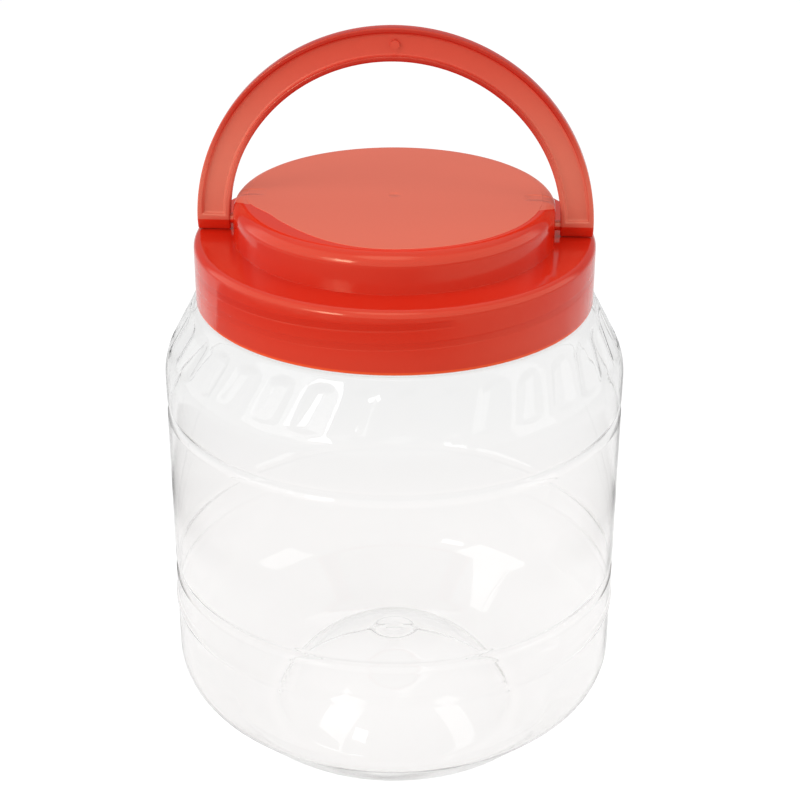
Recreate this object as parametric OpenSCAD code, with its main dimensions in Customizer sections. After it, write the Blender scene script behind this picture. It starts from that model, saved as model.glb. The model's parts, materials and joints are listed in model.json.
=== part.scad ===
// Wide-mouth storage jar: a blown clear body, a screw lid with a raised crown,
// a seal liner inside the lid, and a half-ring carrying handle pegged to the crown.
// The origin is the centre of the base on the surface it stands on, +Z is up,
// and the handle's pivot axis runs along X. Sizes are in millimetres.

/* [Jar body] */
// Outer diameter of the straight wall
body_d = 149; // [146:0.5:160]
// Height from the base to the lower edge of the lid
body_h = 155.5; // [145:0.5:190]
// Wall thickness of the blown body
wall = 1; // [0.6:0.1:1.4]
// Outer diameter of the ring that the jar stands on
foot_d = 90; // [80:1:96]
// Width of the flat on that ring
foot_w = 4; // [2:0.5:6]
// Height of the dome pushed up inside the foot ring
dome_h = 27; // [12:1:34]
// Diameter of the gate pad in the middle of the dome, inside
gate_d = 12; // [8:0.5:16]
// Height of the gate pad above the dome
gate_h = 0.8; // [0.4:0.1:1.4]
// Radius where the heel leaves the foot ring
heel_low_r = 17; // [12:0.5:19]
// Radius where the heel meets the straight wall
heel_high_r = 16; // [12:0.5:19]
// Slope of the heel between those two radii, from level, in degrees
heel_slope = 45; // [40:1:48]

/* [Rings round the wall] */
// Depth of the two grooves
groove_depth = 0.9; // [0.4:0.1:1.2]
// Height of each groove
groove_h = 4.6; // [3:0.2:7]
// Upper groove, distance below the edge of the lid
groove_high_drop = 35.4; // [32:0.2:45]
// Lower groove, distance below the edge of the lid
groove_low_drop = 94; // [60:0.5:98]
// Bead, distance below the edge of the lid
bead_drop = 107.2; // [103:0.2:112]
// Height of the bead
bead_h = 4.4; // [3:0.2:6]
// How far the bead stands proud of the wall
bead_proud = 0.5; // [0.2:0.1:0.8]

/* [Shoulder] */
// Drop from the edge of the lid to the top of the straight wall
shoulder_drop = 25; // [22:0.5:28]
// Radius between the straight wall and the shoulder cone
shoulder_r = 18; // [14:0.5:22]
// Width of the ledge between the neck and the top of the shoulder cone
ledge_w = 3.8; // [2.6:0.1:5.4]
// Rounding of the corner where the cone turns into the ledge
ledge_edge_r = 2.4; // [1.8:0.1:3]
// Number of flutes round the shoulder
flute_count = 32; // [16:1:36]
// Width of one flute
flute_w = 9.6; // [6:0.2:10.4]
// Depth of one flute
flute_depth = 1.2; // [0.6:0.1:1.4]
// Length of one flute along the cone
flute_len = 14.4; // [12:0.2:15]
// Distance of a flute's middle below the edge of the lid
flute_drop = 9.6; // [9:0.1:11]
// Swirl of the flutes, in degrees
flute_swirl = 18; // [0:1:24]

/* [Neck] */
// Outer diameter of the neck, at the root of its thread
neck_d = 120.4; // [116:0.2:121]
// Wall thickness of the neck
neck_wall = 2; // [1.4:0.1:2.6]
// Height of the rim above the lower edge of the lid
neck_h = 17.5; // [15:0.1:18]
// Thickness of the ledge at the foot of the neck
ledge_t = 1.4; // [1:0.1:2]
// Rounding of the rim
rim_round = 0.6; // [0.3:0.1:0.9]

/* [Lid] */
// Gap between the neck and the inside of the skirt, where the threads are
thread_gap = 1.7; // [1.3:0.1:2]
// Wall thickness of the skirt and of the top
lid_wall = 1.6; // [1.2:0.1:2]
// Gap between the lid's lower edge and the shoulder under it
lid_gap = 0.8; // [0.4:0.1:1.5]
// Radius of the lid's upper rim
lid_rim_r = 2.4; // [1.6:0.1:3]
// Rounding inside the lid, where the skirt meets the top
lid_inner_r = 1; // [0.6:0.1:1.2]
// Rounding of the skirt's lower edge
lid_edge_r = 0.6; // [0.3:0.1:0.8]
// Diameter of the raised crown
crown_d = 101.6; // [94:0.2:102]
// Height of the crown above the ledge round it
crown_h = 12.7; // [11:0.1:16]
// Rounding of the crown's upper edge
crown_r = 4.4; // [2.4:0.1:5]
// Rounding at the foot of the crown
crown_foot_r = 0.6; // [0.3:0.1:0.8]
// Depth of the flat cut on each side of the crown for the handle
flat_depth = 0.6; // [0.4:0.1:0.8]

/* [Seal liner] */
// Thickness of the liner
liner_t = 1; // [0.6:0.1:1.6]
// Gap above and below the liner
liner_gap = 0.05; // [0.02:0.01:0.1]
// Gap between the liner's rim and the rounding inside the lid
liner_side_gap = 0.1; // [0.05:0.05:0.3]

/* [Handle] */
// Gap between the handle and the crown's round wall
handle_gap = 1.3; // [0.8:0.1:2]
// Width of the handle, along its radius
handle_w = 10.4; // [8:0.1:10.6]
// Thickness of the handle
handle_t = 4.2; // [3.6:0.1:5]
// Rounding of the handle's edges
handle_edge_r = 0.5; // [0.3:0.1:0.8]
// Width of the raised border on the handle's front
border_w = 1.6; // [1.2:0.1:2.2]
// Depth of the web behind that border
web_depth = 1.2; // [0.6:0.1:1.6]
// Diameter of the round mark at the middle of the web
mark_d = 3; // [2:0.1:4]
// Height of that mark
mark_h = 0.8; // [0.4:0.1:1]
// Height of the pivot above the lid's ledge
pivot_rise = 3.7; // [3.4:0.1:5]
// Gap between the tip of each foot and the lid's ledge
foot_gap = 0.3; // [0.2:0.1:0.6]
// Rounding of that tip
foot_tip_r = 1.2; // [0.8:0.1:1.6]
// Radius of the peg on each foot
peg_r = 1.6; // [1.2:0.1:1.8]
// Running clearance between a peg and its bore
peg_fit = 0.05; // [0.02:0.01:0.08]
// Length of a peg inside its bore
peg_grip = 4.2; // [3:0.1:5]
// Free length beyond the peg's tip
bore_spare = 1.5; // [0.5:0.1:2]
// Wall round the bore and behind it
boss_wall = 2.4; // [1.6:0.1:2.8]

/* [Hidden] */
$fn = 96;

// How far a cutter or a joined piece runs past the face that it meets
over = 1;

// Jar
body_r = body_d / 2;
foot_r = foot_d / 2;
dome_edge_r = foot_r - foot_w;
dome_ball_r = (dome_edge_r * dome_edge_r + dome_h * dome_h) / (2 * dome_h);
heel_run = body_r - heel_high_r - foot_r + (heel_high_r - heel_low_r) * sin(heel_slope);
heel_z = heel_low_r + (heel_high_r - heel_low_r) * cos(heel_slope) + heel_run * tan(heel_slope);
shoulder_z = body_h - shoulder_drop;
ledge_z = body_h - lid_gap;
neck_r = neck_d / 2;
mouth_r = neck_r - neck_wall;
rim_z = body_h + neck_h;

// Lean of the shoulder cone, from upright: it touches the shoulder's round and ends at the ledge
ledge_out = neck_r + ledge_w - body_r + shoulder_r;
ledge_up = ledge_z - shoulder_z;
shoulder_lean = atan2(ledge_up, ledge_out) - acos(shoulder_r / norm([ledge_out, ledge_up]));

// Flutes: each is a hollow as long, wide and deep as its sizes say
flute_across_r = (flute_w * flute_w / 4 + flute_depth * flute_depth) / (2 * flute_depth);
flute_along_r = (flute_len * flute_len / 4 + flute_depth * flute_depth) / (2 * flute_depth);
flute_z = body_h - flute_drop;

// How far a flute's cutter turns past the flute's end, to leave the wall
flute_over_a = 6;

// Lid
skirt_r = neck_r + thread_gap;
lid_r = skirt_r + lid_wall;
crown_rad = crown_d / 2;
liner_z = rim_z + liner_gap;
seat_z = liner_z + liner_t + liner_gap;
lid_ledge_z = seat_z + lid_wall;
crown_z = lid_ledge_z + crown_h;
flat_x = crown_rad - flat_depth;

// Handle
handle_in_r = crown_rad + handle_gap;
handle_out_r = handle_in_r + handle_w;
pivot_z = lid_ledge_z + pivot_rise;
foot_drop = pivot_rise - foot_gap;
bore_r = peg_r + peg_fit;
peg_tip_x = flat_x - peg_grip;
bore_end_x = peg_tip_x - bore_spare;
boss_r = bore_r + boss_wall;
mark_sink = 0.2;

// Points along an arc, from angle a to angle b, in n steps
function arc(x, y, r, a, b, n) =
    [for (i = [0 : n]) [x + r * cos(a + (b - a) * i / n), y + r * sin(a + (b - a) * i / n)]];

// A ring round the wall at height z: a groove where depth is above 0, a bead where it is below.
// t is the distance inside the outer surface, so that the wall keeps its thickness.
function ring(z, height, depth, t) =
    let (d = abs(depth), side = sign(depth))
    let (ball = (height * height / 4 + d * d) / (2 * d), r = ball + side * t)
    let (reach = ball - d + side * t, half = acos(reach / r))
    let (cx = body_r - depth + side * ball)
    side > 0 ? arc(cx, z, r, 180 + half, 180 - half, 10) : arc(cx, z, r, -half, half, 10);

// The jar's outline of revolution, t inside its outer surface, from the dome to the shoulder's top
function jar_side(t, top_z) =
    let (dome_c = dome_h - dome_ball_r, dome_r = dome_ball_r + t)
    let (dome_a = asin((t - dome_c) / dome_r))
    let (cone_x = body_r - shoulder_r + (shoulder_r - t) * cos(shoulder_lean))
    let (cone_z = shoulder_z + (shoulder_r - t) * sin(shoulder_lean))
    let (edge_r = ledge_edge_r - t, edge_z = top_z - edge_r)
    let (edge_x = cone_x - (edge_r + (edge_z - cone_z) * sin(shoulder_lean)) / cos(shoulder_lean))
    concat(
        arc(0, dome_c, dome_r, 90, dome_a, 14),
        arc(foot_r, heel_low_r, heel_low_r - t, -90, heel_slope - 90, 8),
        arc(body_r - heel_high_r, heel_z, heel_high_r - t, heel_slope - 90, 0, 8),
        ring(body_h - bead_drop, bead_h, -bead_proud, t),
        ring(body_h - groove_low_drop, groove_h, groove_depth, t),
        ring(body_h - groove_high_drop, groove_h, groove_depth, t),
        arc(body_r - shoulder_r, shoulder_z, shoulder_r - t, 0, shoulder_lean, 8),
        arc(edge_x, edge_z, edge_r, shoulder_lean, 90, 6)
    );

// The cutters of the flutes; the inner wall follows with cutters that are a wall thicker
module flutes(t) {
    cone_x = body_r - shoulder_r + shoulder_r * cos(shoulder_lean);
    cone_z = shoulder_z + shoulder_r * sin(shoulder_lean);
    x = cone_x - (flute_z - cone_z) * tan(shoulder_lean);
    for (i = [0 : flute_count - 1])
        rotate([0, 0, (i + 0.5) * 360 / flute_count])
            translate([x, 0, flute_z])
                rotate([0, -shoulder_lean, 0])
                    rotate([-flute_swirl, 0, 0])
                        flute_cutter(t);
}

// A slice of a ring that stands across the wall: its outer side bottoms out in the flute.
// The slice reaches a little past the wall, and not as far as the next flute.
module flute_cutter(t) {
    half_a = asin(flute_len / 2 / flute_along_r) + flute_over_a;
    translate([flute_along_r - flute_depth, 0, 0])
        rotate([90, 0, 0])
            rotate([0, 0, 180 - half_a])
                rotate_extrude(angle = 2 * half_a)
                    intersection() {
                        translate([flute_along_r - flute_across_r, 0])
                            circle(r = flute_across_r + t);
                        translate([flute_along_r - flute_depth - over + t, -flute_w])
                            square([2 * flute_depth + over, 2 * flute_w]);
                    }
}

module jar() {
    outer = concat(
        jar_side(0, ledge_z),
        [[neck_r, ledge_z], [neck_r, rim_z - rim_round]],
        arc(neck_r - rim_round, rim_z - rim_round, rim_round, 0, 90, 4),
        [[0, rim_z]]
    );
    inner = concat(
        jar_side(wall, ledge_z - ledge_t),
        [[mouth_r, ledge_z - ledge_t], [mouth_r, rim_z - rim_round]],
        [[mouth_r + rim_round, rim_z], [mouth_r + rim_round, rim_z + over], [0, rim_z + over]]
    );
    color([0.93, 0.95, 0.96, 0.45]) {
        difference() {
            rotate_extrude() polygon(outer);
            flutes(0);
            difference() {
                rotate_extrude() polygon(inner);
                flutes(wall);
            }
        }
        gate_pad();
    }
}

// The thick disc that the preform's gate leaves in the middle of the dome; it starts inside the wall
module gate_pad() {
    gate_r = gate_d / 2;
    edge_r = gate_h / 2;
    start_z = dome_h + wall / 4;
    top_z = dome_h + wall + gate_h;
    rotate_extrude()
        polygon(concat(
            [[0, start_z], [gate_r, start_z]],
            arc(gate_r - edge_r, top_z - edge_r, edge_r, 0, 90, 4),
            [[0, top_z]]
        ));
}

module seal_liner() {
    color("ivory")
        translate([0, 0, liner_z])
            cylinder(h = liner_t, r = skirt_r - lid_inner_r - liner_side_gap);
}

module lid() {
    outer = concat(
        arc(lid_r - lid_edge_r, body_h + lid_edge_r, lid_edge_r, -90, 0, 4),
        arc(lid_r - lid_rim_r, lid_ledge_z - lid_rim_r, lid_rim_r, 0, 90, 8),
        arc(crown_rad + crown_foot_r, lid_ledge_z + crown_foot_r, crown_foot_r, 270, 180, 4),
        arc(crown_rad - crown_r, crown_z - crown_r, crown_r, 0, 90, 10),
        [[0, crown_z], [0, body_h]]
    );
    hollow_r = crown_rad - lid_wall;
    inside = concat(
        [[0, body_h - over], [skirt_r, body_h - over]],
        arc(skirt_r - lid_inner_r, seat_z - lid_inner_r, lid_inner_r, 0, 90, 4),
        [[hollow_r, seat_z]],
        arc(crown_rad - crown_r, crown_z - crown_r, crown_r - lid_wall, 0, 90, 8),
        [[0, crown_z - lid_wall]]
    );
    color([0.86, 0.24, 0.17])
        difference() {
            union() {
                difference() {
                    rotate_extrude() polygon(outer);
                    rotate_extrude() polygon(inside);
                }
                for (s = [0, 180])
                    rotate([0, 0, s])
                        peg_boss();
            }
            for (s = [0, 180])
                rotate([0, 0, s]) {
                    translate([flat_x, -crown_rad, lid_ledge_z])
                        cube([2 * flat_depth + crown_foot_r, 2 * crown_rad, crown_h]);
                    translate([bore_end_x, 0, pivot_z])
                        rotate([0, 90, 0])
                            cylinder(h = crown_rad - bore_end_x, r = bore_r);
                }
        }
}

// The closed boss inside the crown that a peg turns in
module peg_boss() {
    start_x = bore_end_x - boss_wall;
    translate([start_x, 0, pivot_z])
        rotate([0, 90, 0])
            cylinder(h = flat_x - lid_wall / 2 - start_x, r = boss_r);
}

// The handle's section at its right foot, seen from above
function handle_section() =
    let (half_t = handle_t / 2, r = handle_edge_r)
    concat(
        arc(handle_out_r - r, half_t - r, r, 0, 90, 4),
        arc(handle_in_r + r, half_t - r, r, 90, 180, 4),
        arc(handle_in_r + r, r - half_t, r, 180, 270, 4),
        arc(handle_out_r - r, r - half_t, r, 270, 360, 4)
    );

module handle() {
    half_t = handle_t / 2;
    web_a = asin(border_w / handle_in_r);
    mid_r = (handle_in_r + handle_out_r) / 2;
    color([0.86, 0.24, 0.17])
        translate([0, 0, pivot_z]) {
            difference() {
                rotate([90, 0, 0])
                    rotate_extrude(angle = 180)
                        polygon(handle_section());
                rotate([90, 0, 0])
                    rotate([0, 0, web_a])
                        rotate_extrude(angle = 180 - 2 * web_a)
                            translate([handle_in_r + border_w, half_t - web_depth])
                                square([handle_w - 2 * border_w, handle_t]);
            }
            translate([0, web_depth - half_t + mark_sink, mid_r])
                rotate([90, 0, 0])
                    cylinder(h = mark_h + mark_sink, d = mark_d);
            for (s = [0, 180])
                rotate([0, 0, s])
                    handle_foot();
        }
}

// The part of a leg below the pivot, with its peg
module handle_foot() {
    foot_tip();
    translate([peg_tip_x, 0, 0])
        rotate([0, 90, 0])
            cylinder(h = handle_in_r + over - peg_tip_x, r = peg_r);
}

// The sides of the foot draw in to a rounded tip, which clears the ledge as the handle swings
module foot_tip() {
    half_t = handle_t / 2;
    tip_z = foot_tip_r - foot_drop;
    lean = atan2(half_t, -tip_z) - asin(foot_tip_r / norm([half_t, tip_z]));
    flare_y = half_t + over * tan(lean);
    intersection() {
        translate([0, 0, -foot_drop - over])
            linear_extrude(foot_drop + over)
                polygon(handle_section());
        translate([handle_in_r - over, 0, 0])
            rotate([90, 0, 90])
                linear_extrude(handle_w + 2 * over)
                    polygon(concat(
                        [[flare_y, over]],
                        arc(0, tip_z, foot_tip_r, -lean, lean - 180, 8),
                        [[-flare_y, over]]
                    ));
    }
}

jar();
seal_liner();
lid();
handle();
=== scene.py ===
import json
import math

import bmesh
import bpy
from mathutils import Matrix, Vector


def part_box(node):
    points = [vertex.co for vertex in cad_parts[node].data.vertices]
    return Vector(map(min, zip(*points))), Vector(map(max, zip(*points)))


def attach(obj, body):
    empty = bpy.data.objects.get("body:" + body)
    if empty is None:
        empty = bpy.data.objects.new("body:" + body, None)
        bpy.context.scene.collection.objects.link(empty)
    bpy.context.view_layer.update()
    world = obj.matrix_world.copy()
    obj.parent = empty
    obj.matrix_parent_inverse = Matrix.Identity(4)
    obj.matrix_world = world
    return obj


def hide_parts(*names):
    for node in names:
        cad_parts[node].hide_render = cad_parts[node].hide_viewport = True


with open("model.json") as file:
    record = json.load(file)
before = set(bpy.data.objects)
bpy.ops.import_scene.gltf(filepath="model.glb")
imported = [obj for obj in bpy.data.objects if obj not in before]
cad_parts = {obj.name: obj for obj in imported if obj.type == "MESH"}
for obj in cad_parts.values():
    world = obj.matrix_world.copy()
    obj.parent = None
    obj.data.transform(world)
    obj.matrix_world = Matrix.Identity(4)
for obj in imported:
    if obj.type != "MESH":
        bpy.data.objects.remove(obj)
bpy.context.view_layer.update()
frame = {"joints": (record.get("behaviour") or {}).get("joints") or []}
scene = bpy.context.scene
mm = 0.001

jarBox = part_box("jar")
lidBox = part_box("lid")
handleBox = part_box("handle")
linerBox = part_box("seal_liner")
pivotZ = next(j["pos_m"][2] for j in frame["joints"] if j["name"] == "handle_swing")


# camera, at the photograph's viewing angle
camera = {
    "lens": 83.13,          # mm
    "sensor": 36,
    "clip": (0.01, 50),
    "down": 26.18,          # degrees below level
    "round": 3.1,           # degrees round the jar, towards +X
    "away": 0.6109,         # metres from the point it aims at
    "aimSide": 0.0018,      # how far that point lies to the camera's right of the axis
    "aimZ": 0.11666,
    "roll": 0.183,          # degrees
}


def makeCamera():
    data = bpy.data.cameras.new("camera")
    data.lens = camera["lens"]
    data.sensor_width = camera["sensor"]
    data.clip_start, data.clip_end = camera["clip"]
    obj = bpy.data.objects.new("camera", data)
    scene.collection.objects.link(obj)
    pitch = math.radians(camera["down"])
    turn = Matrix.Rotation(math.radians(camera["round"]), 4, "Z")
    tilt = Matrix.Rotation(math.pi / 2 - pitch, 4, "X")
    roll = Matrix.Rotation(math.radians(camera["roll"]), 4, "Z")
    aim = turn @ Vector((camera["aimSide"], 0, camera["aimZ"]))
    back = turn @ Vector((0, -math.cos(pitch), math.sin(pitch)))
    obj.matrix_world = Matrix.Translation(aim + back * camera["away"]) @ turn @ tilt @ roll
    scene.camera = obj


makeCamera()
print("camera set")


# outlines and spun shells
def arcPoints(cx, cz, radius, start, end, count):
    angles = [math.radians(start + (end - start) * i / count) for i in range(count + 1)]
    return [(cx + radius * math.cos(a), cz + radius * math.sin(a)) for a in angles]


def roundCorner(before, corner, after, radius, count=6):  # an arc that touches both sides of a corner
    corner = Vector(corner)
    a = (Vector(before) - corner).normalized()
    b = (Vector(after) - corner).normalized()
    half = a.angle(b) / 2
    centre = corner + (a + b).normalized() * radius / math.sin(half)
    start = corner + a * radius / math.tan(half) - centre
    end = corner + b * radius / math.tan(half) - centre
    first = math.atan2(start.y, start.x)
    sweep = math.remainder(math.atan2(end.y, end.x) - first, math.tau)
    steps = [first + sweep * i / count for i in range(count + 1)]
    return [(centre.x + radius * math.cos(s), centre.y + radius * math.sin(s)) for s in steps]


def outline(corners, count=6):  # corners are (x, z, radius); a radius of 0 keeps the point
    points = []
    for i, (x, z, radius) in enumerate(corners):
        if radius:
            points += roundCorner(corners[i - 1][:2], (x, z), corners[i + 1][:2], radius, count)
        else:
            points.append((x, z))
    return points


def betweenPoints(start, end, count):  # points strictly between two others
    return [(start[0] + (end[0] - start[0]) * i / count, start[1] + (end[1] - start[1]) * i / count)
            for i in range(1, count)]


def spinOutline(points, steps):  # the outline is in mm, starts and ends on the axis
    bm = bmesh.new()
    verts = [bm.verts.new((x * mm, 0, z * mm)) for x, z in points]
    edges = [bm.edges.new(pair) for pair in zip(verts, verts[1:])]
    bmesh.ops.spin(bm, geom=verts + edges, cent=(0, 0, 0), axis=(0, 0, 1), angle=math.tau,
                   steps=steps, use_merge=True, use_duplicate=False)
    bmesh.ops.remove_doubles(bm, verts=bm.verts, dist=1e-7)
    bmesh.ops.recalc_face_normals(bm, faces=bm.faces)
    return bm


def smoothStep(x):
    x = min(1, max(0, x))
    return x * x * (3 - 2 * x)


def makePiece(name, bm, body, node, sharpAngle=40):
    mesh = bpy.data.meshes.new(name)
    bm.to_mesh(mesh)
    bm.free()
    mesh.shade_smooth()
    mesh.set_sharp_from_angle(angle=math.radians(sharpAngle))
    piece = bpy.data.objects.new(name, mesh)
    scene.collection.objects.link(piece)
    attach(piece, body)
    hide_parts(node)
    return piece


def cutOrJoin(bm, others, operation):  # a true union or difference with closed shapes
    objects = []
    for shape in [bm] + others:
        mesh = bpy.data.meshes.new("shape")
        shape.to_mesh(mesh)
        shape.free()
        objects.append(bpy.data.objects.new("shape", mesh))
        scene.collection.objects.link(objects[-1])
    for other in objects[1:]:
        modifier = objects[0].modifiers.new("join", "BOOLEAN")
        modifier.operation = operation
        modifier.solver = "EXACT"
        modifier.object = other
    result = bmesh.new()
    result.from_object(objects[0], bpy.context.evaluated_depsgraph_get())
    for obj in objects:
        bpy.data.meshes.remove(obj.data)
    return result


def rod(radius, startX, endX, z, segments=32, chamfer=0):  # a closed rod along X, in mm; z in metres
    bm = bmesh.new()
    bmesh.ops.create_cone(bm, cap_ends=True, segments=segments, radius1=radius * mm,
                          radius2=radius * mm, depth=abs(endX - startX) * mm)
    if chamfer:
        rims = [e for e in bm.edges if abs(e.verts[0].co.z - e.verts[1].co.z) < 1e-7]
        bmesh.ops.bevel(bm, geom=rims, offset=chamfer * mm, affect="EDGES", segments=2,
                        profile=0.5, material=-1)
    bmesh.ops.rotate(bm, verts=bm.verts, cent=(0, 0, 0), matrix=Matrix.Rotation(math.pi / 2, 3, "Y"))
    bmesh.ops.translate(bm, verts=bm.verts, vec=((startX + endX) / 2 * mm, 0, z))
    return bm


# the two-start thread that the neck and the lid share
thread = {
    "lead": 12.0,           # mm of rise in one turn
    "starts": 2,
    "lowZ": 158.6,          # middle of a rib where it starts, in mm
    "sweep": 290,           # degrees that one rib runs
    "taper": 14,            # degrees over which its ends fade
    "width": 2.3,
    "crest": 0.35,          # share of half that width where a rib starts to fall
    "foot": 1.3,            # and where it has ended
    "neckRise": 1.3,        # how far the neck's ribs stand out
    "lidRise": 1.2,         # how far the lid's ribs stand in
    "rowStep": 0.36,        # spacing of the rows that carry a rib
}


def threadRise(angle, z, shift):  # 0 to 1; z and shift in mm
    best = 0
    for k in range(thread["starts"]):
        along = (angle - math.tau * k / thread["starts"]) % math.tau
        sweep = math.radians(thread["sweep"])
        if along > sweep:
            continue
        middle = thread["lowZ"] + shift + thread["lead"] * along / math.tau
        off = abs(z - middle) / (thread["width"] / 2)
        if off < thread["foot"]:
            fade = smoothStep(min(along, sweep - along) / math.radians(thread["taper"]))
            fall = (off - thread["crest"]) / (thread["foot"] - thread["crest"])
            best = max(best, fade * (1 - smoothStep(fall)))
    return best


# the blown jar, in mm
jar = {
    "wall": 0.5,            # thinner than the solid's, so that its bends don't trap dark lines
    "footR": 45.0,
    "footW": 4.0,
    "domeH": 27.0,
    "footRound": 2.0,       # round between the foot ring and the dome
    "gateR": 6.0,           # the raised pad inside, in the middle
    "gateH": 0.6,
    "gateSlope": 2.8,
    "gateRound": 2.0,
    "gateClear": 0.3,       # from its edge to the dome's next ring
    "heelLowR": 17.0,
    "heelHighR": 16.0,
    "heelSlope": 45,
    "bodyR": 74.5,
    "beadDrop": 107.2,      # drops are below the lid's lower edge
    "beadH": 5.2,
    "beadProud": 0.5,
    "grooveDrops": (94.0, 35.4),
    "grooveH": 5.6,
    "grooveDepth": 0.9,
    "ringRows": 14,         # steps up each bead or groove
    "shoulderDrop": 25.0,
    "shoulderR": 18.0,
    "ledgeW": 3.8,
    "ledgeEdgeR": 2.4,
    "ledgeT": 0.6,
    "ledgeGap": 0.3,        # between the ledge and the lid's edge
    "neckR": 60.2,
    "neckWall": 2.0,
    "neckRound": 0.5,
    "rimRound": 0.6,
    "plainRim": 1.2,        # the neck's top, which has no thread
    "coneRows": 27,
    "fluteCount": 32,
    "columns": 8,           # for each flute and its ridge
    "fluteColumns": 3,      # of these lie in the flute, on each side of its middle
    "fluteLen": 16.0,
    "fluteDepth": 1.2,
    "fluteDrop": 10.0,
    "fluteSwirl": 18,       # degrees
    "fluteEnds": (2.4, 4.2),        # lengths of a flute's rounded lower and upper ends
    "fluteHalf": (0.45, 0.36),      # half width of a flute at its lower and upper end, in pitches
    "fluteOver": 1.1,       # share of a flute's half length where the swirl and the widening stop
    "fluteUnder": 12.0,     # how far below the cone a flute may reach
    "fluteIn": 2.5,         # how far inside it
}


def ringRows(z, height, depth, inset):  # a groove where depth is above 0, a bead where it is below
    points = []
    for i in range(jar["ringRows"] + 1):
        share = i / jar["ringRows"] * 2 - 1
        swell = 0.5 + 0.5 * math.cos(math.pi * share)
        points.append((jar["bodyR"] - inset - depth * swell, z + share * height / 2))
    return points


def shoulderLean():  # of the cone, in degrees from upright
    out = jar["neckR"] + jar["ledgeW"] - jar["bodyR"] + jar["shoulderR"]
    up = jar["shoulderDrop"] - jar["ledgeGap"]
    return math.degrees(math.atan2(up, out) - math.acos(jar["shoulderR"] / math.hypot(out, up)))


def jarSide(inset, bodyH, lean, topZ):  # from the dome's middle up to the cone
    slope = math.radians(jar["heelSlope"])
    edgeR = jar["footR"] - jar["footW"]
    domeR = (edgeR ** 2 + jar["domeH"] ** 2) / (2 * jar["domeH"])
    domeZ = jar["domeH"] - domeR
    footRound = jar["footRound"]
    roundX = math.sqrt((domeR + footRound) ** 2 - (footRound - domeZ) ** 2)
    domeEnd = math.degrees(math.atan2(footRound - domeZ, roundX))
    heelRun = (jar["bodyR"] - jar["heelHighR"] - jar["footR"]
               + (jar["heelHighR"] - jar["heelLowR"]) * math.sin(slope))
    heelZ = (jar["heelLowR"] + (jar["heelHighR"] - jar["heelLowR"]) * math.cos(slope)
             + heelRun * math.tan(slope))
    shoulderZ = bodyH - jar["shoulderDrop"]
    leanA = math.radians(lean)
    coneX = jar["bodyR"] - jar["shoulderR"] + (jar["shoulderR"] - inset) * math.cos(leanA)
    coneZ = shoulderZ + (jar["shoulderR"] - inset) * math.sin(leanA)
    coneTop = (coneX - (topZ - coneZ) * math.tan(leanA), topZ)
    points = arcPoints(0, domeZ, domeR + inset, 90, domeEnd, 18)
    points += arcPoints(roundX, footRound, footRound - inset, 180 + domeEnd, 270, 6)
    points += arcPoints(jar["footR"], jar["heelLowR"], jar["heelLowR"] - inset, 270, 270 + jar["heelSlope"], 8)
    points += arcPoints(jar["bodyR"] - jar["heelHighR"], heelZ, jar["heelHighR"] - inset,
                        jar["heelSlope"] - 90, 0, 10)
    points += ringRows(bodyH - jar["beadDrop"], jar["beadH"], -jar["beadProud"], inset)
    for drop in jar["grooveDrops"]:
        points += ringRows(bodyH - drop, jar["grooveH"], jar["grooveDepth"], inset)
    points += arcPoints(jar["bodyR"] - jar["shoulderR"], shoulderZ, jar["shoulderR"] - inset, 0, lean, 8)
    return points, coneTop


def addCone(points, coneTop, stopX, edgeR):  # the fluted cone, and the rounding into the ledge
    edge = roundCorner(points[-1], coneTop, (stopX, coneTop[1]), edgeR, 7)
    return points + betweenPoints(points[-1], edge[0], jar["coneRows"]) + edge


def jarShell():
    bodyH = lidBox[0].z / mm
    rimZ = jarBox[1].z / mm
    neckR = jar["neckR"]
    mouthR = neckR - jar["neckWall"]
    lean = shoulderLean()
    ledgeZ = bodyH - jar["ledgeGap"]
    edgeR = jar["ledgeEdgeR"]
    outer = addCone(*jarSide(0, bodyH, lean, ledgeZ), neckR, edgeR)
    outer += roundCorner(outer[-1], (neckR, ledgeZ), (neckR, rimZ), jar["neckRound"], 4)
    inner = addCone(*jarSide(jar["wall"], bodyH, lean, ledgeZ - jar["ledgeT"]), mouthR, edgeR - jar["wall"])
    inner += roundCorner(inner[-1], (mouthR, inner[-1][1]), (mouthR, rimZ), jar["neckRound"], 3)
    threadTop = (neckR, rimZ - jar["plainRim"])
    threadRows = round((threadTop[1] - outer[-1][1]) / thread["rowStep"])
    outer += betweenPoints(outer[-1], threadTop, threadRows)
    outer += outline([(*threadTop, 0), (neckR, rimZ, jar["rimRound"]), (mouthR, rimZ, jar["rimRound"]),
                      (mouthR, ledgeZ, 0)], 4)[:-1]
    gateTop = jar["domeH"] + jar["wall"] + jar["gateH"]
    pad = outline([(0, gateTop, 0), (jar["gateR"] - jar["gateSlope"], gateTop, jar["gateRound"]),
                   (jar["gateR"], gateTop - jar["gateH"], 0)])
    inner = pad + [p for p in inner if p[0] > jar["gateR"] + jar["gateClear"]]
    bm = spinOutline(outer + inner[::-1], jar["fluteCount"] * jar["columns"])
    shapeFlutes(bm, bodyH, lean)
    shapeNeckThread(bm, neckR)
    return bm


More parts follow.
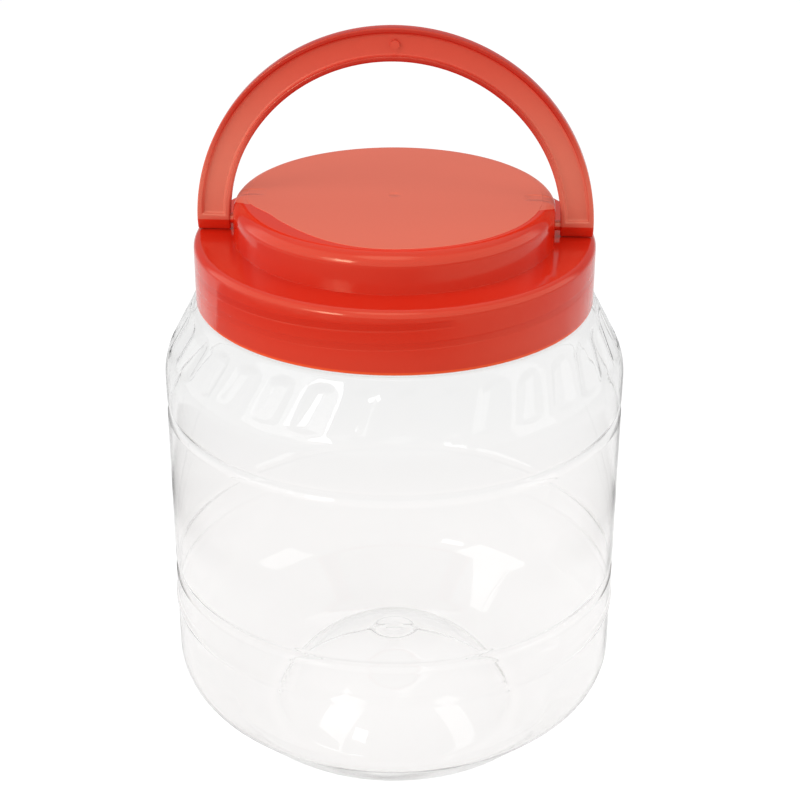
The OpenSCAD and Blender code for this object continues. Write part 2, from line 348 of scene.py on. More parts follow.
def shapeFlutes(bm, bodyH, lean):
    leanA = math.radians(lean)
    up = Vector((-math.sin(leanA), math.cos(leanA)))
    out = Vector((math.cos(leanA), math.sin(leanA)))
    coneX = jar["bodyR"] - jar["shoulderR"] * (1 - math.cos(leanA))
    coneZ = bodyH - jar["shoulderDrop"] + jar["shoulderR"] * math.sin(leanA)
    middleZ = bodyH - jar["fluteDrop"]
    middle = Vector((coneX - (middleZ - coneZ) * math.tan(leanA), middleZ))
    pitch = math.tau / jar["fluteCount"]
    swirl = math.tan(math.radians(jar["fluteSwirl"])) / middle.x
    half = jar["fluteLen"] / 2
    for v in bm.verts:
        radius, z = math.hypot(v.co.x, v.co.y) / mm, v.co.z / mm
        if radius < jar["neckR"] + 0.1 or z < coneZ - jar["fluteUnder"]:
            continue
        off = Vector((radius, z)) - middle
        along, proud = off.dot(up), off.dot(out)
        if proud < -jar["fluteIn"]:
            continue
        angle = math.atan2(v.co.y, v.co.x)
        share = (angle / pitch) % 1 - 0.5       # across the flute, in pitches
        edge = jar["fluteColumns"] / jar["columns"]
        across = share / edge
        past = max(0, (abs(along) - half) / jar["fluteEnds"][along > 0] + 1)
        deep = max(0, 1 - across ** 2 - past ** 2)
        radius -= jar["fluteDepth"] * deep * out.x
        z -= jar["fluteDepth"] * deep * out.y
        reach = half * jar["fluteOver"]
        level = max(-reach, min(reach, along))
        low, high = jar["fluteHalf"]
        wide = low + (high - low) * (level / half + 1) / 2
        if abs(share) < edge:
            shift = share * (wide / edge - 1)
        else:
            shift = math.copysign((wide - edge) * (0.5 - abs(share)) / (0.5 - edge), share)
        turned = angle + swirl * level + shift * pitch
        v.co = (radius * math.cos(turned) * mm, radius * math.sin(turned) * mm, z * mm)


def shapeNeckThread(bm, neckR):
    for v in bm.verts:
        radius = math.hypot(v.co.x, v.co.y) / mm
        if abs(radius - neckR) < 0.01:
            rise = thread["neckRise"] * threadRise(math.atan2(v.co.y, v.co.x), v.co.z / mm, 0)
            v.co.x *= 1 + rise / radius
            v.co.y *= 1 + rise / radius


jarPiece = makePiece("clear_jar", jarShell(), "jar", "jar")
print("jar", len(jarPiece.data.polygons), "faces")


# the screw lid, in mm
lid = {
    "wall": 1.6,
    "skirtEdge": 0.6,
    "rimRound": 2.4,
    "crownR": 50.8,
    "crownH": 12.7,
    "crownRound": 4.4,
    "crownFoot": 0.06,
    "satinR": 46.2,         # the satin top, which stands a hair above the glossy rounding
    "satinStep": 0.15,
    "stepRound": 0.05,
    "stepReach": 0.19,      # the step and its roundings end this far from that radius
    "satinDip": 4.5,        # how far the satin falls short of that radius on the left of the front
    "dipStart": -82,        # azimuths from the front, in degrees, between which it does
    "dipFull": (-60, -50),
    "dipEnd": -2,
    "innerRound": 1.0,
    "innerEdge": 0.4,
    "threadLow": 1.0,       # where the rows for the thread start, above the lower edge
    "threadTop": 0.1,       # and end, below the inner rounding
    "flatDepth": 0.6,       # of the flat that each foot of the handle lies beside
    "boreR": 1.65,
    "boreEnd": 44.5,        # x of the bore's closed end
    "bossWall": 2.4,
    "columns": 288,
}


def lidShell():
    lidR, bottom, top = lidBox[1].x / mm, lidBox[0].z / mm, lidBox[1].z / mm
    wall, crownR = lid["wall"], lid["crownR"]
    ledge = top - lid["crownH"]
    seat, skirtR, hollowR = ledge - wall, lidR - wall, crownR - wall
    step = lid["satinStep"]
    outer = outline([
        (0, top, 0), (lid["satinR"], top, lid["stepRound"]),
        (lid["satinR"] + step, top - step, lid["stepRound"]),
        (crownR, top - step, lid["crownRound"]), (crownR, ledge, lid["crownFoot"]),
        (lidR, ledge, lid["rimRound"]), (lidR, bottom, lid["skirtEdge"]),
        (skirtR, bottom, lid["innerEdge"]), (skirtR, bottom + lid["threadLow"], 0)], 8)
    threadTop = (skirtR, seat - lid["innerRound"] - lid["threadTop"])
    rows = round((threadTop[1] - outer[-1][1]) / thread["rowStep"])
    inside = betweenPoints(outer[-1], threadTop, rows) + outline([
        (*threadTop, 0), (skirtR, seat, lid["innerRound"]), (hollowR, seat, lid["innerEdge"]),
        (hollowR, top - wall, lid["crownRound"] - wall), (0, top - wall, 0)], 6)
    bm = spinOutline(outer + inside, lid["columns"])
    shapeSatinEdge(bm, top)
    shapeLidThread(bm, skirtR)
    cutFlats(bm, crownR, ledge)
    boss = lid["boreR"] + lid["bossWall"]
    ends = (lid["boreEnd"] - lid["bossWall"], crownR - lid["flatDepth"] - wall / 2)
    bosses = [rod(boss, side * ends[0], side * ends[1], pivotZ, 40) for side in (-1, 1)]
    bm = cutOrJoin(bm, bosses, "UNION")
    bores = [rod(lid["boreR"], side * lid["boreEnd"], side * (crownR + 1), pivotZ) for side in (-1, 1)]
    return cutOrJoin(bm, bores, "DIFFERENCE")


def shapeSatinEdge(bm, top):  # its step runs inside the circle for part of the way
    for v in bm.verts:
        radius = math.hypot(v.co.x, v.co.y) / mm
        if v.co.z / mm > top - lid["satinStep"] - 0.01 and abs(radius - lid["satinR"]) < lid["stepReach"]:
            azimuth = math.degrees(math.atan2(v.co.x, -v.co.y))
            first, last = lid["dipFull"]
            dip = (smoothStep((azimuth - lid["dipStart"]) / (first - lid["dipStart"]))
                   * smoothStep((lid["dipEnd"] - azimuth) / (lid["dipEnd"] - last)))
            scale = 1 - lid["satinDip"] * dip / radius
            v.co.x *= scale
            v.co.y *= scale


def shapeLidThread(bm, skirtR):
    halfLead = thread["lead"] / thread["starts"] / 2
    for v in bm.verts:
        radius = math.hypot(v.co.x, v.co.y) / mm
        if abs(radius - skirtR) < 0.01:
            rise = thread["lidRise"] * threadRise(math.atan2(v.co.y, v.co.x), v.co.z / mm, halfLead)
            v.co.x *= 1 - rise / radius
            v.co.y *= 1 - rise / radius


def cutFlats(bm, crownR, ledge):  # the crown is flat where the handle's feet lie
    flatX = (crownR - lid["flatDepth"]) * mm
    nearX = flatX - 4 * mm
    lowZ = (ledge - 0.01) * mm
    reach = (crownR + lid["crownFoot"] + 0.01) * mm
    for side in (-1, 1):
        faces = [f for f in bm.faces if all(v.co.z > lowZ for v in f.verts)
                 and f.calc_center_median().x * side > nearX]
        edges, verts = {e for f in faces for e in f.edges}, {v for f in faces for v in f.verts}
        bmesh.ops.bisect_plane(bm, geom=faces + list(edges) + list(verts), plane_co=(side * flatX, 0, 0),
                               plane_no=(side, 0, 0), dist=1e-7)
    for v in bm.verts:
        if v.co.z > lowZ and abs(v.co.x) > flatX and math.hypot(v.co.x, v.co.y) < reach:
            v.co.x = math.copysign(flatX, v.co.x)


lidPiece = makePiece("screw_lid", lidShell(), "lid", "lid")
print("lid", len(lidPiece.data.polygons), "faces")


# the half-ring handle, in mm
handle = {
    "width": 10.4,
    "edgeRound": 0.5,
    "roundSteps": 5,
    "cornerAngle": 50,      # degrees; edges sharper than this are rounded
    "border": 1.6,
    "webDepth": 1.2,
    "webSlope": 0.4,        # draft of the border's inner side
    "webRound": 0.4,
    "markR": 1.5,
    "markH": 1.0,           # above the web
    "markSunk": 0.2,        # and below its face
    "markTaper": 0.9,
    "pegR": 1.6,
    "pegTip": 46.0,
    "pegChamfer": 0.3,
    "footDrop": 3.62,       # how far a foot reaches below the pivot
    "tipRound": 1.2,
    "steps": 102,           # the first and last leave a border at the feet
}


def handleShell():
    outR = handleBox[1].x / mm
    inR = outR - handle["width"]
    halfT = handleBox[1].y / mm
    border = handle["border"]
    bm = bmesh.new()
    xs = [inR, inR + border, outR - border, outR]
    loop = [(x, halfT) for x in xs] + [(outR, 0)] + [(x, -halfT) for x in reversed(xs)] + [(inR, 0)]
    verts = [bm.verts.new((x * mm, y * mm, pivotZ)) for x, y in loop]
    edges = [bm.edges.new(pair) for pair in zip(verts, verts[1:] + verts[:1])]
    bmesh.ops.spin(bm, geom=verts + edges, cent=(0, 0, pivotZ), axis=(0, -1, 0), angle=math.pi,
                   steps=handle["steps"], use_merge=False, use_duplicate=False)
    for side in (-1, 1):
        addFoot(bm, [side * x for x in xs], halfT)
    bmesh.ops.remove_doubles(bm, verts=bm.verts, dist=1e-6)
    bmesh.ops.recalc_face_normals(bm, faces=bm.faces)
    recessWeb(bm, inR, outR)
    sharp = math.radians(handle["cornerAngle"])
    corners = [e for e in bm.edges if len(e.link_faces) == 2 and e.calc_face_angle() > sharp]
    webEdges = [e for e in corners if onWeb(e, inR, outR)]
    roundEdges(bm, [e for e in corners if e not in webEdges], handle["edgeRound"])
    roundEdges(bm, [e for e in webEdges if e.is_valid], handle["webRound"])
    pegs = [rod(handle["pegR"], side * handle["pegTip"], side * (inR + 1), pivotZ,
                chamfer=handle["pegChamfer"]) for side in (-1, 1)]
    return cutOrJoin(bm, [webMark((inR + outR) / 2, halfT)] + pegs, "UNION")


def roundEdges(bm, edges, radius):
    bmesh.ops.bevel(bm, geom=edges, offset=radius * mm, affect="EDGES", segments=handle["roundSteps"],
                    profile=0.5, material=-1, clamp_overlap=True)


def webMark(middleR, halfT):  # the small round boss at the top of the web
    depth = handle["markH"] + handle["markSunk"]
    rootY = -halfT + handle["webDepth"] + handle["markSunk"]
    mark = bmesh.new()
    bmesh.ops.create_cone(mark, cap_ends=True, segments=32, radius1=handle["markR"] * mm,
                          radius2=handle["markR"] * handle["markTaper"] * mm, depth=depth * mm)
    bmesh.ops.rotate(mark, verts=mark.verts, cent=(0, 0, 0), matrix=Matrix.Rotation(math.pi / 2, 3, "X"))
    bmesh.ops.translate(mark, verts=mark.verts, vec=(0, (rootY - depth / 2) * mm, pivotZ + middleR * mm))
    return mark


def addFoot(bm, xs, halfT):  # below the pivot the sides draw in to a rounded tip
    tipR, tipZ = handle["tipRound"], handle["tipRound"] - handle["footDrop"]
    lean = math.degrees(math.atan2(halfT, -tipZ) - math.asin(tipR / math.hypot(halfT, tipZ)))
    side = [(halfT, 0)] + arcPoints(0, tipZ, tipR, -lean, lean - 180, 10) + [(-halfT, 0)]
    rows = [[bm.verts.new((x * mm, y * mm, pivotZ + z * mm)) for x in xs] for y, z in side]
    for low, high in zip(rows, rows[1:]):
        for i in range(len(xs) - 1):
            bm.faces.new((low[i], low[i + 1], high[i + 1], high[i]))
    for end in (0, -1):
        middle = bm.verts.new((xs[end] * mm, 0, pivotZ))
        bm.faces.new([row[end] for row in rows] + [middle])


def radiusAt(co):
    return math.hypot(co.x, co.z - pivotZ) / mm


def onWeb(edge, inR, outR):
    middle = (edge.verts[0].co + edge.verts[1].co) / 2
    within = inR + handle["border"] / 2 < radiusAt(middle) < outR - handle["border"] / 2
    return within and middle.z > pivotZ and middle.y < 0


def recessWeb(bm, inR, outR):  # the sunk web on the front
    border = handle["border"]
    low = math.pi / handle["steps"] * 0.9
    web = []
    for f in bm.faces:
        middle = f.calc_center_median()
        angle = math.atan2(middle.z - pivotZ, middle.x)
        if (f.normal.y < -0.99 and inR + border < radiusAt(middle) < outR - border
                and low < angle < math.pi - low):
            web.append(f)
    bmesh.ops.inset_region(bm, faces=web, thickness=handle["webSlope"] * mm, depth=-handle["webDepth"] * mm,
                           use_boundary=True, use_even_offset=True)


handlePiece = makePiece("carry_handle", handleShell(), "handle", "handle", 19)
print("handle", len(handlePiece.data.polygons), "faces")


# the seal liner inside the lid, in mm
liner = {
    "columns": 192,
    "edgeRound": 0.15,
    "pressR": (58.2, 60.2), # the ring that the jar's rim presses into it
    "pressDepth": 0.08,
    "pressEdge": 0.2,
}


def linerShell():
    radius, low, high = linerBox[1].x / mm, linerBox[0].z / mm, linerBox[1].z / mm
    inner, outer = liner["pressR"]
    depth, edge, slope = liner["pressDepth"], liner["edgeRound"], liner["pressEdge"]
    points = outline([
        (0, high, 0), (radius, high, edge), (radius, low, edge), (outer + slope, low, 0),
        (outer, low + depth, 0), (inner, low + depth, 0), (inner - slope, low, 0), (0, low, 0)], 3)
    return spinOutline(points, liner["columns"])


linerPiece = makePiece("foam_liner", linerShell(), "seal_liner", "seal_liner")
print("liner", len(linerPiece.data.polygons), "faces")


# materials
def newMaterial(name):
    material = bpy.data.materials.new(name)
    material.use_nodes = True
    nodes = material.node_tree.nodes
    return material, nodes, nodes["Principled BSDF"]


def feed(node, inputs):  # a link where a value is another node's output, else a fixed value
    for name, value in inputs.items():
        if isinstance(value, bpy.types.NodeSocket):
            node.id_data.links.new(value, node.inputs[name])
        else:
            node.inputs[name].default_value = value


def addNode(nodes, kind, inputs, **settings):
    node = nodes.new(kind)
    for key, value in settings.items():
        setattr(node, key, value)
    feed(node, inputs)
    return node


def calculate(nodes, operation, *values, clamp=False):
    node = addNode(nodes, "ShaderNodeMath", dict(enumerate(values)), operation=operation, use_clamp=clamp)
    return node.outputs["Value"]


def product(nodes, *values):
    total = values[0]
    for value in values[1:]:
        total = calculate(nodes, "MULTIPLY", total, value)
    return total


def blend(nodes, mask, first, second, kind="RGBA"):
    inputs = {"Factor": mask, "A": first, "B": second}
    return addNode(nodes, "ShaderNodeMix", inputs, data_type=kind).outputs["Result"]


def blendShaders(nodes, mask, first, second):
    return addNode(nodes, "ShaderNodeMixShader", {"Fac": mask, 1: first, 2: second}).outputs["Shader"]


def gate(nodes, value, low, high):  # 1 where value is past high, 0 before low, smooth between
    inputs = {"Value": value, "From Min": low, "From Max": high}
    return addNode(nodes, "ShaderNodeMapRange", inputs, interpolation_type="SMOOTHSTEP").outputs["Result"]


def splitPlace(nodes, place):  # its X, Y and Z
    return addNode(nodes, "ShaderNodeSeparateXYZ", {"Vector": place}).outputs[:]


def distance(nodes, first, second):  # from an axis; first and second are measured square to it
    flat = addNode(nodes, "ShaderNodeCombineXYZ", {"X": first, "Y": second}).outputs["Vector"]
    return addNode(nodes, "ShaderNodeVectorMath", {0: flat}, operation="LENGTH").outputs["Value"]


def towards(nodes, way, direction):  # cosine of the angle between the two
    node = addNode(nodes, "ShaderNodeVectorMath", {0: way, 1: direction}, operation="DOT_PRODUCT")
    return node.outputs["Value"]


def objectPlace(nodes):
    return nodes.new("ShaderNodeTexCoord").outputs["Object"]


def drawnOut(nodes, place, share):  # a pattern that is stretched along the jar's axis
    return addNode(nodes, "ShaderNodeMapping", {"Vector": place, "Scale": (1, 1, share)}).outputs["Vector"]


def addNoise(nodes, place, scale, detail=2):
    inputs = {"Vector": place, "Scale": scale, "Detail": detail}
    return addNode(nodes, "ShaderNodeTexNoise", inputs).outputs["Fac"]


def addBump(nodes, height, depth, strength=1, under=None, invert=False):
    inputs = {"Height": height, "Distance": depth, "Strength": strength}
    if under is not None:
        inputs["Normal"] = under
    return addNode(nodes, "ShaderNodeBump", inputs, invert=invert).outputs["Normal"]


grain = {
    "drift": 55,            # scale of the colour drift
    "fine": 1800,           # scale of the fine skin, and its depth in metres
    "fineDepth": 0.00004,
    "broad": 45,            # scale of the slow waves, and their depth
    "broadDepth": 0.0006,
}


def plasticGroup():  # moulded plastic: faint colour drift, patchy gloss and a fine skin
    group = bpy.data.node_groups.new("mouldedSkin", "ShaderNodeTree")
    vector, colour, number = "NodeSocketVector", "NodeSocketColor", "NodeSocketFloat"
    taken = {"Position": vector, "Colour": colour, "Deep colour": colour, "Roughness": number,
             "Roughness spread": number, "Skin": number, "Waves": number}
    given = {"Colour": colour, "Roughness": number, "Normal": vector}
    for way, sockets in (("INPUT", taken), ("OUTPUT", given)):
        for name, kind in sockets.items():
            group.interface.new_socket(name, in_out=way, socket_type=kind)
    nodes = group.nodes
    values = nodes.new("NodeGroupInput").outputs
    drift = addNoise(nodes, values["Position"], grain["drift"], 3)
    fine = addNoise(nodes, values["Position"], grain["fine"])
    broad = addNoise(nodes, values["Position"], grain["broad"], 1)
    waves = addBump(nodes, broad, grain["broadDepth"], values["Waves"])
    addNode(nodes, "NodeGroupOutput", {
        "Colour": blend(nodes, drift, values["Colour"], values["Deep colour"]),
        "Roughness": calculate(nodes, "MULTIPLY_ADD", drift, values["Roughness spread"], values["Roughness"]),
        "Normal": addBump(nodes, fine, grain["fineDepth"], values["Skin"], waves)})
    return group


mouldedSkin = plasticGroup()


def addSkin(nodes, place, values):
    return addNode(nodes, "ShaderNodeGroup", dict(values, Position=place), node_tree=mouldedSkin).outputs


def redPlastic(name, look):
    material, nodes, shader = newMaterial(name)
    place = objectPlace(nodes)
    skin = addSkin(nodes, place, {
        "Colour": look["colour"], "Deep colour": look["deep"], "Roughness": look["gloss"],
        "Roughness spread": look["glossSpread"], "Skin": look["skin"], "Waves": look["waves"]})
    feed(shader, {"Base Color": skin["Colour"], "Roughness": skin["Roughness"], "Normal": skin["Normal"],
                  "IOR": look["ior"], "Specular Tint": look["sheenTint"]})
    return material, nodes, shader, place, skin


redLook = {
    "colour": (0.62, 0.0195, 0.0065, 1),
    "deep": (0.60, 0.0180, 0.0060, 1),
    "gloss": 0.10,
    "glossSpread": 0.04,
    "skin": 0.10,
    "waves": 0.10,
    "ior": 1.49,
    "sheenTint": (1, 0.93, 0.62, 1),
    "satin": (0.715, 0.130, 0.076, 1),      # the fine satin grain is painted paler than the gloss, a painted sheen for its spread reflection
    "satinRough": 0.36,
    "satinEdge": (0.00012, 0.00004),        # metres below the top where it ends
    "satinSpread": (-0.012, -0.002),        # metres; from front to back, where the satin spreads
    "satinDrop": 0.0022,    # and how far down the rounding it goes
    "step": (0.70, 0.0200, 0.0020, 1),      # painted shade: the glossy step round the satin is painted a richer red, for the darker reflection it shows
    "stepFrom": (0.0006, 0.0002),   # metres below the top where that begins and is complete
    "thinEdge": (0.82, 0.085, 0.020, 1),    # light comes through at the skirt's lower edge
    "thinEdgeH": (0.0013, 0.0007),  # metres above the edge where that begins and is complete
    "lowSkirt": (0.64, 0.036, 0.017, 1),    # and a little through the lower skirt
    "lowSkirtH": (0.015, 0.002),
    "ribShade": (0.570, 0.0150, 0.0045, 1),  # painted shade over the thread's ribs, which lie behind the skirt and let less light through it
    "ribEdge": (1.2, 0.7),  # shares of half a rib's width where it begins and is complete
    "ribEnd": 0.05,         # radians over which its ends fade
    "ribBelow": 0.003,      # metres below the rim over which the ribs fade in
    "ribSink": -0.3,        # the skirt has sunk over them, as a share of streaks
    "streaks": 0.00014,     # metres; the upright flow marks on the skirt
    "flowScale": 170,
    "flowShare": 0.05,      # how much slower they change upwards
    "flowFrom": (0.001, 0.004),     # metres below the rim where they begin and are complete
}


def tintOver(nodes, shader, mask, colour):  # a colour over what the base colour shows so far
    before = shader.inputs["Base Color"].links[0].from_socket
    feed(shader, {"Base Color": blend(nodes, mask, before, colour)})


def roughOver(nodes, shader, mask, roughness):
    before = shader.inputs["Roughness"].links[0].from_socket
    feed(shader, {"Roughness": blend(nodes, mask, before, roughness, "FLOAT")})


def ribMask(nodes, x, y, z):  # 1 on the skirt where a rib of the thread lies behind it
    turn = calculate(nodes, "ARCTAN2", y, x)
    lowZ = (thread["lowZ"] + thread["lead"] / thread["starts"] / 2) * mm
    sweep, fade = math.radians(thread["sweep"]), redLook["ribEnd"]
    edge = [share * thread["width"] / 2 * mm for share in redLook["ribEdge"]]
    ribs = []
    for k in range(thread["starts"]):
        turned = calculate(nodes, "SUBTRACT", turn, math.tau * k / thread["starts"])
        along = calculate(nodes, "WRAP", turned, math.tau, 0)
        middle = calculate(nodes, "MULTIPLY_ADD", along, thread["lead"] * mm / math.tau, lowZ)
        away = calculate(nodes, "ABSOLUTE", calculate(nodes, "SUBTRACT", z, middle))
        ribs.append(product(nodes, gate(nodes, along, 0, fade), gate(nodes, along, sweep, sweep - fade),
                            gate(nodes, away, *edge)))
    return calculate(nodes, "MAXIMUM", *ribs)


sinks = {
    "depth": 0.0006,        # metres
    "half": 0.0034,         # half width of the furrow over each boss
    "floor": 0.0014,        # and of its bottom
    "start": 0.0400,        # its inner end
    "run": 0.0040,          # length over which it deepens from there
    "gate": 0.0024,         # radius of the dimple at the gate
    "gateShare": 0.8,       # and its share of the depth
    "below": 0.002,         # how far below the top they fade out
}


def lidMaterial():
    material, nodes, shader, place, skin = redPlastic("lidRed", redLook)
    x, y, z = splitPlace(nodes, place)
    bottom, top = lidBox[0].z, lidBox[1].z
    rim = top - lid["crownH"] * mm
    # the crown's flat top is satin, painted paler as a painted sheen, and away from the front that runs on over
    # the rounding
    raised = calculate(nodes, "MULTIPLY_ADD", gate(nodes, y, *redLook["satinSpread"]), redLook["satinDrop"], z)
    satin = gate(nodes, raised, *[top - below for below in redLook["satinEdge"]])
    # painted shade: a richer red on the glossy step round the satin
    tintOver(nodes, shader, gate(nodes, z, *[top - below for below in redLook["stepFrom"]]), redLook["step"])
    tintOver(nodes, shader, satin, redLook["satin"])
    roughOver(nodes, shader, satin, redLook["satinRough"])
    ribs = product(nodes, ribMask(nodes, x, y, z), gate(nodes, z, rim, rim - redLook["ribBelow"]))
    # painted shade where the ribs lie behind the skirt
    tintOver(nodes, shader, ribs, redLook["ribShade"])
    # painted glow where light comes through the lower skirt and its thin edge
    for name in ("lowSkirt", "thinEdge"):
        start, full = redLook[name + "H"]
        tintOver(nodes, shader, gate(nodes, z, bottom + start, bottom + full), redLook[name])
    # upright flow marks on the skirt
    flow = addNoise(nodes, drawnOut(nodes, place, redLook["flowShare"]), redLook["flowScale"], 3)
    uneven = calculate(nodes, "MULTIPLY_ADD", ribs, redLook["ribSink"], flow)
    onSkirt = gate(nodes, z, *[rim - below for below in redLook["flowFrom"]])
    marks = addBump(nodes, product(nodes, uneven, onSkirt), redLook["streaks"], 1, skin["Normal"])
    # the top has sunk a little over the bosses of the pegs, and at the gate in its middle
    side, across = calculate(nodes, "ABSOLUTE", x), calculate(nodes, "ABSOLUTE", y)
    furrow = product(nodes, gate(nodes, side, sinks["start"], sinks["start"] + sinks["run"]),
                     gate(nodes, across, sinks["half"], sinks["floor"]))
    dimple = gate(nodes, distance(nodes, x, y), sinks["gate"], 0)
    sunk = calculate(nodes, "MULTIPLY_ADD", dimple, sinks["gateShare"], furrow)
    onTop = gate(nodes, z, top - sinks["below"], top)
    feed(shader, {"Normal": addBump(nodes, product(nodes, sunk, onTop), sinks["depth"], 1, marks, True)})
    return material


handleLook = {
    "gloss": 0.2,
    "skin": 0.16,
    # painted sheen: the satin front is painted paler than the gloss
    "satin": (0.69, 0.160, 0.105, 1),
    "legPale": 0.8,         # how much paler the front of the legs is painted, low down
    "legFade": (0.060, 0.010),      # metres above the pivot where that begins and is complete
    "webPale": 0.25,        # and how much more so the web is
    "webAbove": (0.0015, 0.0019),   # where the web begins
    "faceAbove": (0, 0.0004),       # and the front
    "facePast": (-0.0001, -0.0004), # how far forward a face counts as the front
    "line": 0.0002,         # width of the change from border to web
    "border": (0.48, 0.0090, 0.0035, 1),    # painted shade: the border round the web is darker up the arch
    "borderShadeFrom": (0.010, 0.045),
}


def handleMaterial():
    look = dict(redLook, gloss=handleLook["gloss"], skin=handleLook["skin"])
    material, nodes, shader, place = redPlastic("handleRed", look)[:4]
    x, y, z = splitPlace(nodes, place)
    up = calculate(nodes, "SUBTRACT", z, pivotZ)
    radius = distance(nodes, x, up)
    outR, line = handleBox[1].x, handleLook["line"]
    webIn = outR - (handle["width"] - handle["border"]) * mm
    webOut = outR - handle["border"] * mm
    # the front is painted paler, a painted sheen of its satin, and paler low down on the legs; the web more so
    # than its border
    face = product(nodes, gate(nodes, y, *handleLook["facePast"]), gate(nodes, up, *handleLook["faceAbove"]))
    web = product(nodes, gate(nodes, radius, webIn, webIn + line), gate(nodes, radius, webOut, webOut - line),
                  face, gate(nodes, up, *handleLook["webAbove"]))
    legs = product(nodes, face, gate(nodes, up, *handleLook["legFade"]), handleLook["legPale"])
    pale = calculate(nodes, "MULTIPLY_ADD", web, handleLook["webPale"], legs, clamp=True)
    tintOver(nodes, shader, pale, handleLook["satin"])
    roughOver(nodes, shader, web, look["satinRough"])
    border = calculate(nodes, "SUBTRACT", face, web, clamp=True)
    # painted shade on the border, darker up the arch
    archShade = gate(nodes, up, *handleLook["borderShadeFrom"])
    tintOver(nodes, shader, product(nodes, border, archShade), handleLook["border"])
    return material


linerLook = {
    "skin": {"Colour": (0.86, 0.85, 0.80, 1), "Deep colour": (0.80, 0.79, 0.73, 1), "Roughness": 0.6,
             "Roughness spread": 0.1, "Skin": 0.6, "Waves": 0.2},
    "cellScale": 1400,
    "cellDepth": 0.0001,
    "cellStrength": 0.3,
}


def linerMaterial():
    material, nodes, shader = newMaterial("linerFoam")
    place = objectPlace(nodes)
    skin = addSkin(nodes, place, linerLook["skin"])
    cells = addNode(nodes, "ShaderNodeTexVoronoi", {"Vector": place, "Scale": linerLook["cellScale"]})
    bump = addBump(nodes, cells.outputs["Distance"], linerLook["cellDepth"], linerLook["cellStrength"],
                   skin["Normal"])
    feed(shader, {"Base Color": skin["Colour"], "Roughness": skin["Roughness"], "Normal": bump})
    return material


clearLook = {
    "colour": (0.996, 0.996, 0.995, 1),
    "thick": (0.990, 0.991, 0.991, 1),
    "ior": 1.27,
    "gloss": (0.015, 0.045),
    "waveScale": 26,
    "waveShare": 0.45,      # blown walls are drawn out along the axis
    "waveDepth": 0.0004,
    "waveStrength": 0.5,
    "shadow": (0.98, 0.98, 0.98, 1),        # light passes almost whole, so the jar casts hardly any shadow
}


def clearMaterial():
    material, nodes, shader = newMaterial("clearPlastic")
    waves = addNoise(nodes, drawnOut(nodes, objectPlace(nodes), clearLook["waveShare"]), clearLook["waveScale"])
    low, high = clearLook["gloss"]
    gloss = addNode(nodes, "ShaderNodeMapRange", {"Value": waves, "To Min": low, "To Max": high})
    feed(shader, {
        "Base Color": blend(nodes, waves, clearLook["colour"], clearLook["thick"]),
        "Roughness": gloss.outputs["Result"],
        "Normal": addBump(nodes, waves, clearLook["waveDepth"], clearLook["waveStrength"]),
        "Transmission Weight": 1,
        "IOR": clearLook["ior"]})
    through = addNode(nodes, "ShaderNodeBsdfTransparent", {"Color": clearLook["shadow"]})
    shadowRay = nodes.new("ShaderNodeLightPath").outputs["Is Shadow Ray"]
    feed(nodes["Material Output"], {
        "Surface": blendShaders(nodes, shadowRay, shader.outputs["BSDF"], through.outputs["BSDF"])})
    return material


jarPiece.data.materials.append(clearMaterial())
lidPiece.data.materials.append(lidMaterial())
handlePiece.data.materials.append(handleMaterial())
linerPiece.data.materials.append(linerMaterial())
print("materials set")


# floor, world and lamps
white = (1, 1, 1, 1)
studio = {
    "floorSize": 8.0,
    "floorColours": ((0.86, 0.86, 0.86, 1), (0.88, 0.88, 0.88, 1)),
    "floorGrain": 40,
    "floorRough": 0.9,
    "shownShare": 0.65,     # of the floor's own brightness that plain white stands in for
    "shownWhite": 1.18,
    "throughShare": 0.8,    # the same for what the clear jar shows
    "throughNear": (0.975, 0.955, 0.945, 1),    # what the clear jar shows of the floor under it, with painted pink light from the red lid
    "throughFar": (0.880, 0.880, 0.876, 1),     # and of what lies behind it, greyed as painted shade
    "behind": (0.10, 0.26), # metres; where that begins and is complete
    "frontFloor": (0.28, 0.28, 0.28, 1),        # in reflections the floor in front lies in the dark
    "frontStart": (0.16, 0.20),     # metres from the jar where that begins and is complete
    "frontStop": (0.85, 0.55),      # where it has ended, and where it starts to
    "frontBack": (0.16, 0.14),      # the same towards the back
    "frontRight": (0.45, 0.12),     # and to the right
    "worldLight": 0.64,
    "backdrop": 1.0,
    "walls": 1.7,           # brightness of the lit walls in reflections
    "darkToward": (0.063, 0.611, 1.285),        # a dark screen hangs above and behind
    "darkEdge": (0.97, 1.03),       # its soft edge above, as a cosine times that direction's length
    "darkBack": (0.40, 0.60),       # and behind
    "screen": (0.38, 1.15), # its brightness low down and overhead
    "screenRise": (0.35, 0.95),     # sines of the heights between which that changes
    "panels": (             # direction, cosines at the soft edge, brightness
        ((-0.05, -0.435, 0.899), (0.945, 0.985), 3.0),
        ((-0.586, -0.749, 0.309), (0.976, 0.990), 4.0),
    ),
    "lampAim": (0, 0, 0.16),
}


def perRay(nodes, path, camera, through):  # one value for camera rays, one for those through the jar
    return calculate(nodes, "MULTIPLY_ADD", path["Is Camera Ray"], camera,
                     product(nodes, path["Is Transmission Ray"], through))


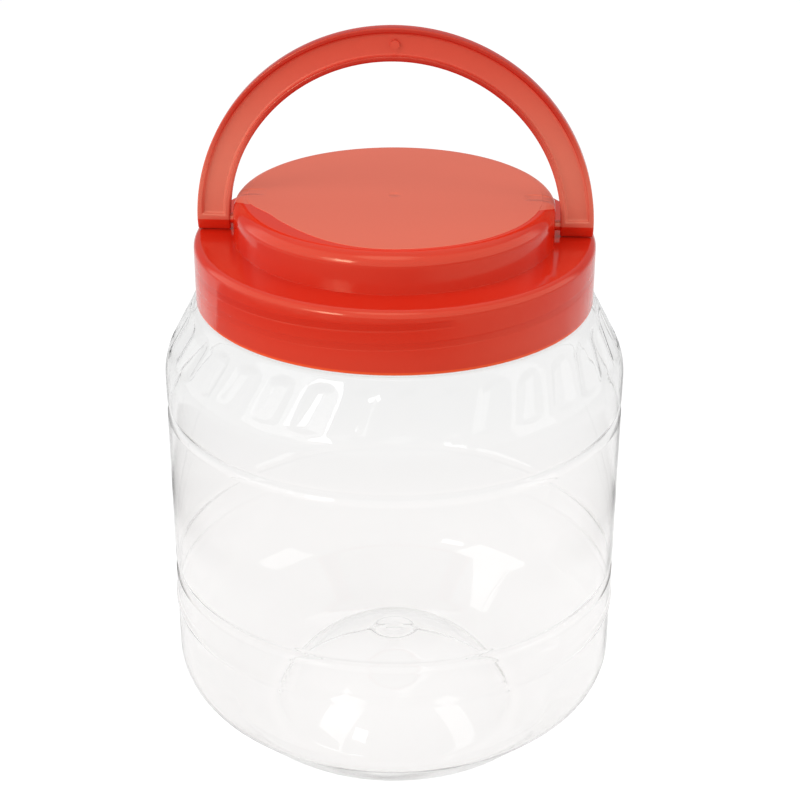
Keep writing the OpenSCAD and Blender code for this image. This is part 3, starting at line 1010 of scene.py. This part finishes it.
def makeFloor():
    bm = bmesh.new()
    bmesh.ops.create_grid(bm, x_segments=1, y_segments=1, size=studio["floorSize"] / 2)
    mesh = bpy.data.meshes.new("floor")
    bm.to_mesh(mesh)
    bm.free()
    floor = bpy.data.objects.new("floor", mesh)
    scene.collection.objects.link(floor)
    material, nodes, shader = newMaterial("floorWhite")
    path = nodes.new("ShaderNodeLightPath").outputs
    place = objectPlace(nodes)
    x, y = splitPlace(nodes, place)[:2]
    reach = distance(nodes, x, y)
    dark = product(nodes, gate(nodes, reach, *studio["frontStart"]), gate(nodes, reach, *studio["frontStop"]),
                   gate(nodes, y, *studio["frontBack"]), gate(nodes, x, *studio["frontRight"]),
                   path["Is Glossy Ray"])
    tone = blend(nodes, addNoise(nodes, place, studio["floorGrain"]), *studio["floorColours"])
    feed(shader, {"Base Color": blend(nodes, dark, tone, studio["frontFloor"]),
                  "Roughness": studio["floorRough"], "Specular IOR Level": 0})
    # painted pink light and painted shade on what the clear jar shows of the floor
    through = blend(nodes, gate(nodes, y, *studio["behind"]), studio["throughNear"], studio["throughFar"])
    shown = addNode(nodes, "ShaderNodeEmission", {
        "Color": blend(nodes, path["Is Transmission Ray"], white, through),
        "Strength": perRay(nodes, path, studio["shownWhite"], 1)})
    share = perRay(nodes, path, studio["shownShare"], studio["throughShare"])
    feed(nodes["Material Output"], {
        "Surface": blendShaders(nodes, share, shader.outputs["BSDF"], shown.outputs["Emission"])})
    floor.data.materials.append(material)


def background(nodes, colour, strength):
    return addNode(nodes, "ShaderNodeBackground", {"Color": colour, "Strength": strength}).outputs["Background"]


def makeWorld():
    world = bpy.data.worlds.new("studio")
    scene.world = world
    world.use_nodes = True
    nodes = world.node_tree.nodes
    path = nodes.new("ShaderNodeLightPath").outputs
    way = nodes.new("ShaderNodeTexCoord").outputs["Generated"]
    y, z = splitPlace(nodes, way)[1:]
    above = gate(nodes, towards(nodes, way, studio["darkToward"]), *studio["darkEdge"])
    dark = calculate(nodes, "MAXIMUM", above, gate(nodes, y, *studio["darkBack"]))
    low, high = studio["screen"]
    start, full = studio["screenRise"]
    screen = addNode(nodes, "ShaderNodeMapRange", {
        "Value": z, "From Min": start, "From Max": full, "To Min": low, "To Max": high},
        interpolation_type="SMOOTHSTEP")
    room = blend(nodes, dark, studio["walls"], screen.outputs["Result"], "FLOAT")
    for direction, edge, brightness in studio["panels"]:
        room = blend(nodes, gate(nodes, towards(nodes, way, direction), *edge), room, brightness, "FLOAT")
    light = nodes["Background"]
    feed(light, {"Color": white, "Strength": studio["worldLight"]})
    lit = blendShaders(nodes, path["Is Glossy Ray"], light.outputs["Background"], background(nodes, white, room))
    # painted shade: what lies behind is greyed where seen through the jar
    colour = blend(nodes, path["Is Transmission Ray"], white, studio["throughFar"])
    shown = background(nodes, colour, studio["backdrop"])
    feed(nodes["World Output"], {"Surface": blendShaders(nodes, perRay(nodes, path, 1, 1), lit, shown)})


lamps = {
    "leftBox": {"place": (-0.95, -0.55, 0.75), "size": (0.7, 0.9), "power": 5.5, "glossy": False},
    "topBox": {"place": (0.1, 0.15, 1.3), "size": (1.0, 1.0), "power": 3.7, "glossy": False},
    "rightBox": {"place": (1.1, -0.35, 0.6), "size": (0.5, 0.9), "power": 3, "glossy": False},
    "keyBox": {"place": (-0.50, -0.82, 0.50), "size": (0.22, 0.22), "power": 1.2, "glossy": True},
}


def makeLamps():
    for name, lamp in lamps.items():
        data = bpy.data.lights.new(name, "AREA")
        data.shape = "RECTANGLE"
        data.size, data.size_y = lamp["size"]
        data.energy = lamp["power"]
        obj = bpy.data.objects.new(name, data)
        scene.collection.objects.link(obj)
        obj.visible_glossy = lamp["glossy"]
        place = Vector(lamp["place"])
        facing = (Vector(studio["lampAim"]) - place).to_track_quat("-Z", "Y").to_matrix().to_4x4()
        obj.matrix_world = Matrix.Translation(place) @ facing


makeFloor()
makeWorld()
makeLamps()
scene.view_settings.view_transform = "Standard"
print("studio set")
